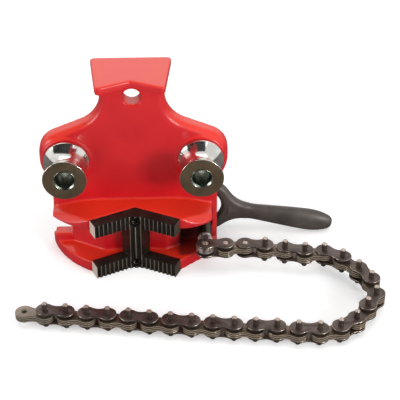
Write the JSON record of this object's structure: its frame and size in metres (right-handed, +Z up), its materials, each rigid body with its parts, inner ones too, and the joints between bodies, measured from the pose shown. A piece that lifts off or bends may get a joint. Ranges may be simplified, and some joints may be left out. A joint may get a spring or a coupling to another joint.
{
  "type": "chain pipe vise",
  "caption": "Bench pipe vise with a V-edged pipe rest, toothed V jaws, a long link chain drawn in by a screw, a forged swing handle and two grooved bending rolls.",
  "frame": {"origin": "on the end of the nose, at the middle of its width, in the plane of the bench face", "axes": "+Z up the axis of a held pipe, from the nose to the pipe rest; -Y from the bench face towards the pipe; +X towards the chain screw and its handle"},
  "size_m": [0.3931, 0.2485, 0.2384],
  "materials": {
    "base_casting": "glossy red enamel over a sand-cast surface",
    "jaw": "dark oxide, teeth worn bright at the tips",
    "jaw_screws": "dark oxide",
    "bending_roll": "turned and polished",
    "roll_sleeve": "drawn tube, plain",
    "chain_screw": "machined, with a bright eye",
    "thrust_washer": "stamped, plain",
    "screw_nut": "forged, dark",
    "handle": "forged, satin dark grey",
    "trunnion_pins": "plain steel",
    "chain_plate": "dark oxide with worn edges",
    "chain_pin": "dark oxide with bright rims",
    "chain_inner": "dark oxide, bright at the cut edges",
    "tail_link": "dark oxide rubbed lighter"
  },
  "bodies": {
    "base": {"base_casting": "base_casting", "jaw": "jaw", "jaw_screws": "jaw_screws", "roll_sleeve_left": "roll_sleeve", "roll_sleeve_right": "roll_sleeve", "thrust_washer": "thrust_washer"},
    "roll_left": {"bending_roll_left": "bending_roll"},
    "roll_right": {"bending_roll_right": "bending_roll"},
    "nut": {"screw_nut": "screw_nut"},
    "screw": {"chain_screw": "chain_screw"},
    "handle": {"handle": "handle", "trunnion_pins": "trunnion_pins"},
    "outer_01": {"outer_plates_01": "chain_plate", "link_pins_01": "chain_pin"},
    "inner_01": {"inner_link_01": "chain_inner"},
    "outer_02": {"outer_plates_02": "chain_plate", "link_pins_02": "chain_pin"},
    "inner_02": {"inner_link_02": "chain_inner"},
    "outer_03": {"outer_plates_03": "chain_plate", "link_pins_03": "chain_pin"},
    "inner_03": {"inner_link_03": "chain_inner"},
    "outer_04": {"outer_plates_04": "chain_plate", "link_pins_04": "chain_pin"},
    "inner_04": {"inner_link_04": "chain_inner"},
    "outer_05": {"outer_plates_05": "chain_plate", "link_pins_05": "chain_pin"},
    "inner_05": {"inner_link_05": "chain_inner"},
    "outer_06": {"outer_plates_06": "chain_plate", "link_pins_06": "chain_pin"},
    "inner_06": {"inner_link_06": "chain_inner"},
    "outer_07": {"outer_plates_07": "chain_plate", "link_pins_07": "chain_pin"},
    "inner_07": {"inner_link_07": "chain_inner"},
    "outer_08": {"outer_plates_08": "chain_plate", "link_pins_08": "chain_pin"},
    "inner_08": {"inner_link_08": "chain_inner"},
    "outer_09": {"outer_plates_09": "chain_plate", "link_pins_09": "chain_pin"},
    "inner_09": {"inner_link_09": "chain_inner"},
    "outer_10": {"outer_plates_10": "chain_plate", "link_pins_10": "chain_pin"},
    "inner_10": {"inner_link_10": "chain_inner"},
    "outer_11": {"outer_plates_11": "chain_plate", "link_pins_11": "chain_pin"},
    "inner_11": {"inner_link_11": "chain_inner"},
    "outer_12": {"outer_plates_12": "chain_plate", "link_pins_12": "chain_pin"},
    "inner_12": {"inner_link_12": "chain_inner"},
    "outer_13": {"outer_plates_13": "chain_plate", "link_pins_13": "chain_pin"},
    "inner_13": {"inner_link_13": "chain_inner"},
    "outer_14": {"outer_plates_14": "chain_plate", "link_pins_14": "chain_pin"},
    "inner_14": {"inner_link_14": "tail_link"}
  },
  "joints": [
    {"name": "roll_turn_left", "type": "hinge", "parent": "base", "child": "roll_left", "pos_m": [-0.0732, -0.04205, 0.1235], "axis": [0, -1, 0], "continuous": true},
    {"name": "roll_turn_right", "type": "hinge", "parent": "base", "child": "roll_right", "pos_m": [0.0732, -0.04205, 0.1235], "axis": [0, -1, 0], "continuous": true},
    {"name": "nut_turn", "type": "hinge", "parent": "base", "child": "nut", "pos_m": [0.077, 0.017, 0.0355], "axis": [0, -1, 0], "range_deg": [-1000, 3200]},
    {"name": "screw_slide", "type": "slide", "parent": "base", "child": "screw", "axis": [0, 1, 0], "range_m": [-0.0089, 0.0283]},
    {"name": "handle_fold", "type": "hinge", "parent": "nut", "child": "handle", "pos_m": [0.077, 0.017, 0.0355], "axis": [0.1668, 0, 0.986], "range_deg": [0, 40]},
    {"name": "chain_hinge_01", "type": "hinge", "parent": "screw", "child": "outer_01", "pos_m": [0.077, -0.065, 0.0333], "axis": [0, 0, -1], "range_deg": [-16, 23]},
    {"name": "chain_hinge_02", "type": "hinge", "parent": "outer_01", "child": "inner_01", "pos_m": [0.0992, -0.065, 0.0317], "axis": [0, 0, 1], "range_deg": [-19, 19]},
    {"name": "chain_hinge_03", "type": "hinge", "parent": "inner_01", "child": "outer_02", "pos_m": [0.12106, -0.06114, 0.0301], "axis": [0, 0, 1], "range_deg": [-16, 23]},
    {"name": "chain_hinge_04", "type": "hinge", "parent": "outer_02", "child": "inner_02", "pos_m": [0.14305, -0.06424, 0.0285], "axis": [0, 0, 1], "range_deg": [-13, 30]},
    {"name": "chain_hinge_05", "type": "hinge", "parent": "inner_02", "child": "outer_03", "pos_m": [0.16522, -0.0654, 0.0269], "axis": [0, 0, -1], "range_deg": [-38, 11]},
    {"name": "chain_hinge_06", "type": "hinge", "parent": "outer_03", "child": "inner_03", "pos_m": [0.18676, -0.07077, 0.0253], "axis": [0, 0, -1], "range_deg": [-23, 10]},
    {"name": "chain_hinge_07", "type": "hinge", "parent": "inner_03", "child": "outer_04", "pos_m": [0.20879, -0.06806, 0.0237], "axis": [0, 0, -1], "range_deg": [-58, 9]},
    {"name": "chain_hinge_08", "type": "hinge", "parent": "outer_04", "child": "inner_04", "pos_m": [0.22782, -0.0795, 0.0221], "axis": [0, 0, 1], "range_deg": [-8, 44]},
    {"name": "chain_hinge_09", "type": "hinge", "parent": "inner_04", "child": "outer_05", "pos_m": [0.24352, -0.09519, 0.0205], "axis": [0, 0, 1], "range_deg": [-8, 44]},
    {"name": "chain_hinge_10", "type": "hinge", "parent": "outer_05", "child": "inner_05", "pos_m": [0.25462, -0.11442, 0.0189], "axis": [0, 0, -1], "range_deg": [-50, 7]},
    {"name": "chain_hinge_11", "type": "hinge", "parent": "inner_05", "child": "outer_06", "pos_m": [0.25694, -0.1365, 0.0173], "axis": [0, 0, 1], "range_deg": [-7, 58]},
    {"name": "chain_hinge_12", "type": "hinge", "parent": "outer_06", "child": "inner_06", "pos_m": [0.24518, -0.15532, 0.0157], "axis": [0, 0, -1], "range_deg": [-40, 7]},
    {"name": "chain_hinge_13", "type": "hinge", "parent": "inner_06", "child": "outer_07", "pos_m": [0.2312, -0.17258, 0.015], "axis": [0, 0, -1], "range_deg": [-45, 7]},
    {"name": "chain_hinge_14", "type": "hinge", "parent": "outer_07", "child": "inner_07", "pos_m": [0.21302, -0.18531, 0.0134], "axis": [0, 0, 1], "range_deg": [-8, 51]},
    {"name": "chain_hinge_15", "type": "hinge", "parent": "inner_07", "child": "outer_08", "pos_m": [0.19109, -0.18878, 0.015], "axis": [0, 0, -1], "range_deg": [-43, 8]},
    {"name": "chain_hinge_16", "type": "hinge", "parent": "outer_08", "child": "inner_08", "pos_m": [0.16895, -0.18723, 0.0134], "axis": [0, 0, -1], "range_deg": [-39, 10]},
    {"name": "chain_hinge_17", "type": "hinge", "parent": "inner_08", "child": "outer_09", "pos_m": [0.14708, -0.18338, 0.015], "axis": [0, 0, 1], "range_deg": [-11, 32]},
    {"name": "chain_hinge_18", "type": "hinge", "parent": "outer_09", "child": "inner_09", "pos_m": [0.12497, -0.18144, 0.0134], "axis": [0, 0, 1], "range_deg": [-12, 36]},
    {"name": "chain_hinge_19", "type": "hinge", "parent": "inner_09", "child": "outer_10", "pos_m": [0.10289, -0.17912, 0.015], "axis": [0, 0, -1], "range_deg": [-37, 13]},
    {"name": "chain_hinge_20", "type": "hinge", "parent": "outer_10", "child": "inner_10", "pos_m": [0.08091, -0.17603, 0.0134], "axis": [0, 0, -1], "range_deg": [-35, 15]},
    {"name": "chain_hinge_21", "type": "hinge", "parent": "inner_10", "child": "outer_11", "pos_m": [0.05892, -0.17294, 0.015], "axis": [0, 0, 1], "range_deg": [-17, 35]},
    {"name": "chain_hinge_22", "type": "hinge", "parent": "outer_11", "child": "inner_11", "pos_m": [0.03694, -0.16986, 0.0134], "axis": [0, 0, 1], "range_deg": [-21, 36]},
    {"name": "chain_hinge_23", "type": "hinge", "parent": "inner_11", "child": "outer_12", "pos_m": [0.01501, -0.16638, 0.015], "axis": [0, 0, 1], "range_deg": [-25, 36]},
    {"name": "chain_hinge_24", "type": "hinge", "parent": "outer_12", "child": "inner_12", "pos_m": [-0.00685, -0.16253, 0.0134], "axis": [0, 0, 1], "range_deg": [-30, 34]},
    {"name": "chain_hinge_25", "type": "hinge", "parent": "inner_12", "child": "outer_13", "pos_m": [-0.02884, -0.15944, 0.015], "axis": [0, 0, 1], "range_deg": [-36, 35]},
    {"name": "chain_hinge_26", "type": "hinge", "parent": "outer_13", "child": "inner_13", "pos_m": [-0.05087, -0.15673, 0.0134], "axis": [0, 0, -1], "range_deg": [-36, 35]},
    {"name": "chain_hinge_27", "type": "hinge", "parent": "inner_13", "child": "outer_14", "pos_m": [-0.07285, -0.15364, 0.015], "axis": [0, 0, -1], "range_deg": [-35, 35]},
    {"name": "chain_hinge_28", "type": "hinge", "parent": "outer_14", "child": "inner_14", "pos_m": [-0.09484, -0.15055, 0.0134], "axis": [0, 0, 1], "range_deg": [-35, 35]}
  ],
  "couplings": [
    {"joint": "screw_slide", "follows": "nut_turn", "m_per_rad": 0.00050532}
  ]
}
